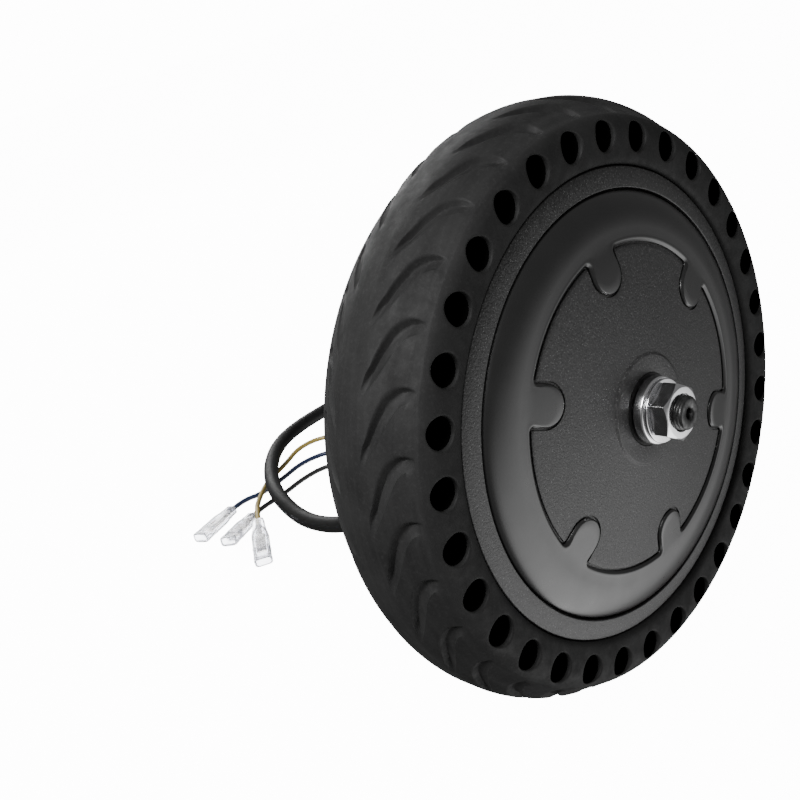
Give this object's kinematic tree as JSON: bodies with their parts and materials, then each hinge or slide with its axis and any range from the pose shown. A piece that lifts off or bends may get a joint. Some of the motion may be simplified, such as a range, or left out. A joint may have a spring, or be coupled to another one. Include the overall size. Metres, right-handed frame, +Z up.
{
  "type": "hub motor wheel",
  "caption": "Solid-tyred wheel with a gearless electric motor in its hub, turning on a fixed threaded axle, with a motor cable and three connectors.",
  "frame": {"origin": "wheel centre: on the axle line, in the tyre's middle plane", "axes": "+Y along the axle towards the cable side, +Z up, +X across the wheel"},
  "size_m": [0.3098, 0.3933, 0.215],
  "materials": {
    "tyre_rubber": "matt moulded rubber",
    "cast_alloy": "as cast",
    "powder_coat": "grainy black powder coat",
    "trim_plastic": "satin black",
    "rotor_steel": "turned",
    "magnet": "nickel plated",
    "lamination_steel": "punched sheet",
    "enamelled_copper": "enamelled wire",
    "insulator_plastic": "moulded",
    "circuit_board": "solder mask",
    "axle_steel": "blackened",
    "bearing_steel": "ground",
    "cage_steel": "pressed sheet",
    "chrome": "plated",
    "seal_rubber": "matt",
    "screw_steel": "blackened",
    "cable_rubber": "satin sheath",
    "yellow_insulation": "silicone insulation",
    "blue_insulation": "silicone insulation",
    "black_insulation": "silicone insulation",
    "clear_plastic": "clear moulded",
    "terminal_brass": "tinned"
  },
  "bodies": {
    "axle_assembly": {"axle": "axle_steel", "back_axle_collar": "chrome", "back_axle_nut": "chrome", "back_axle_washer": "chrome", "back_bearing_inner_ring": "bearing_steel", "back_slot_insulator": "insulator_plastic", "black_connector_housing": "clear_plastic", "black_connector_terminal": "terminal_brass", "black_wire": "black_insulation", "blue_connector_housing": "clear_plastic", "blue_connector_terminal": "terminal_brass", "blue_wire": "blue_insulation", "cable_sleeve": "cable_rubber", "cable_strain_relief": "cable_rubber", "front_axle_collar": "chrome", "front_axle_nut": "chrome", "front_axle_washer": "chrome", "front_bearing_inner_ring": "bearing_steel", "front_slot_insulator": "insulator_plastic", "hall_sensor_board": "circuit_board", "inner_leads": "cable_rubber", "motor_cable": "cable_rubber", "phase_a_coils": "enamelled_copper", "phase_b_coils": "enamelled_copper", "phase_c_coils": "enamelled_copper", "stator_carrier": "cast_alloy", "stator_core": "lamination_steel", "stator_key": "axle_steel", "yellow_connector_housing": "clear_plastic", "yellow_connector_terminal": "terminal_brass", "yellow_wire": "yellow_insulation"},
    "wheel": {"back_bearing_outer_ring": "bearing_steel", "back_cover": "powder_coat", "back_cover_screws": "screw_steel", "back_gasket": "seal_rubber", "back_oil_seal": "seal_rubber", "flux_ring": "rotor_steel", "front_bearing_outer_ring": "bearing_steel", "front_cover": "powder_coat", "front_cover_screws": "screw_steel", "front_gasket": "seal_rubber", "front_oil_seal": "seal_rubber", "hub_shell": "powder_coat", "magnets": "magnet", "trim_cover": "trim_plastic", "tyre": "tyre_rubber"},
    "front_ball_set": {"front_bearing_balls": "bearing_steel", "front_bearing_cage": "cage_steel"},
    "back_ball_set": {"back_bearing_balls": "bearing_steel", "back_bearing_cage": "cage_steel"}
  },
  "joints": [
    {"name": "wheel_spin", "type": "hinge", "parent": "axle_assembly", "child": "wheel", "pos_m": [0, 0, 0], "axis": [0, 1, 0], "continuous": true},
    {"name": "front_ball_set_spin", "type": "hinge", "parent": "axle_assembly", "child": "front_ball_set", "pos_m": [0, -0.0244, 0], "axis": [0, 1, 0], "continuous": true},
    {"name": "back_ball_set_spin", "type": "hinge", "parent": "axle_assembly", "child": "back_ball_set", "pos_m": [0, 0.0244, 0], "axis": [0, 1, 0], "continuous": true}
  ],
  "couplings": [
    {"joint": "front_ball_set_spin", "follows": "wheel_spin", "ratio": 0.6178},
    {"joint": "back_ball_set_spin", "follows": "wheel_spin", "ratio": 0.6178}
  ]
}
